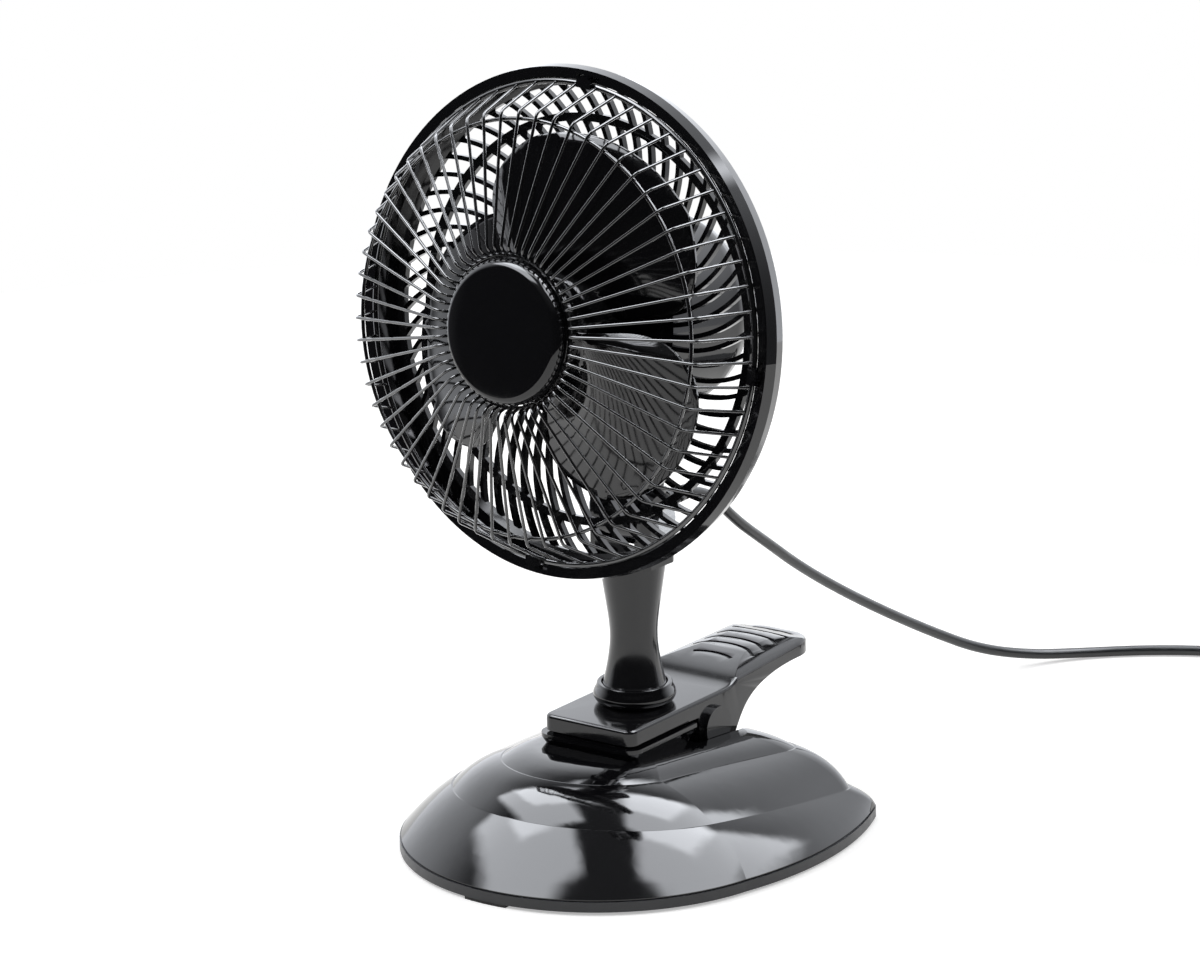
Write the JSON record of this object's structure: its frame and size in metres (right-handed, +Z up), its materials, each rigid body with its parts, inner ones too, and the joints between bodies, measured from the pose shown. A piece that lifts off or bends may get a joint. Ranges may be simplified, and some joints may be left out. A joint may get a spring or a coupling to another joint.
{
  "type": "clip fan",
  "caption": "Small desk fan on a domed weighted base whose sprung clip arm carries a swivelling neck, a tilting head with wire guard and broad plastic blades.",
  "frame": {"origin": "on the table plane under the feet, on the axis of the neck's swivel", "axes": "+Z up, -Y the way the fan blows, +Y the clip's handle, +X to the fan's right seen from behind the camera at az 0"},
  "size_m": [0.2627, 0.3926, 0.2937],
  "materials": {
    "gloss_black": "glossy moulded ABS",
    "semigloss_black": "semi-gloss moulded ABS",
    "satin_dark_grey": "satin moulded plastic",
    "black_rubber": "matt rubber",
    "raw_steel": "plain steel",
    "zinc_steel": "zinc plated",
    "enamelled_wire": "glossy black enamel on steel wire",
    "copper_winding": "enamelled copper",
    "bronze": "sintered bronze",
    "cord_pvc": "satin PVC",
    "nickel_pins": "nickel plated brass"
  },
  "bodies": {
    "base": {"base_shell": "gloss_black", "base_cover": "satin_dark_grey", "base_feet": "black_rubber", "ballast_plate": "raw_steel", "cover_screws": "zinc_steel", "lower_jaw_pad": "black_rubber", "pivot_pin": "zinc_steel", "clip_spring": "zinc_steel", "power_cord": "cord_pvc", "cord_coil": "cord_pvc", "plug_body": "cord_pvc", "plug_pins": "nickel_pins"},
    "clip_arm": {"clip_arm": "semigloss_black", "upper_jaw_pad": "black_rubber", "neck_collar": "gloss_black"},
    "neck": {"neck_front": "semigloss_black", "neck_rear": "semigloss_black", "swivel_screw": "zinc_steel", "swivel_washer": "zinc_steel", "tilt_bolt": "zinc_steel", "tilt_nut": "zinc_steel"},
    "head": {"rear_guard": "gloss_black", "front_guard": "enamelled_wire", "hub_cap": "gloss_black", "housing_front": "gloss_black", "housing_rear": "gloss_black", "housing_screws": "zinc_steel", "stator": "raw_steel", "stator_coils": "copper_winding", "motor_bracket_front": "zinc_steel", "motor_bracket_rear": "zinc_steel", "bearings": "bronze", "switch_body": "semigloss_black", "strain_relief": "cord_pvc"},
    "fan": {"fan_blades": "gloss_black", "motor_shaft": "raw_steel", "rotor": "raw_steel"},
    "switch_knob": {"switch_knob": "semigloss_black"}
  },
  "joints": [
    {"name": "clip_open", "type": "hinge", "parent": "base", "child": "clip_arm", "pos_m": [0, 0.0219, 0.0375], "axis": [-1, 0, 0], "range_deg": [0, 24], "stiffness_Nm_per_rad": 1.2, "springref_deg": -91.67, "deforming": ["clip_spring", "power_cord"]},
    {"name": "neck_swivel", "type": "hinge", "parent": "clip_arm", "child": "neck", "pos_m": [0, 0, 0.06], "axis": [0, 0, 1], "range_deg": [-90, 90]},
    {"name": "head_tilt", "type": "hinge", "parent": "neck", "child": "head", "pos_m": [0, 0, 0.122], "axis": [-0.9986, 0.0523, 0], "range_deg": [-37, 36]},
    {"name": "fan_spin", "type": "hinge", "parent": "head", "child": "fan", "pos_m": [-0.00199, -0.03797, 0.20245], "axis": [-0.0519, -0.9901, 0.1305], "continuous": true},
    {"name": "switch_turn", "type": "hinge", "parent": "head", "child": "switch_knob", "pos_m": [0.00152, 0.02906, 0.19362], "axis": [0.0519, 0.9901, -0.1305], "range_deg": [0, 90]}
  ]
}
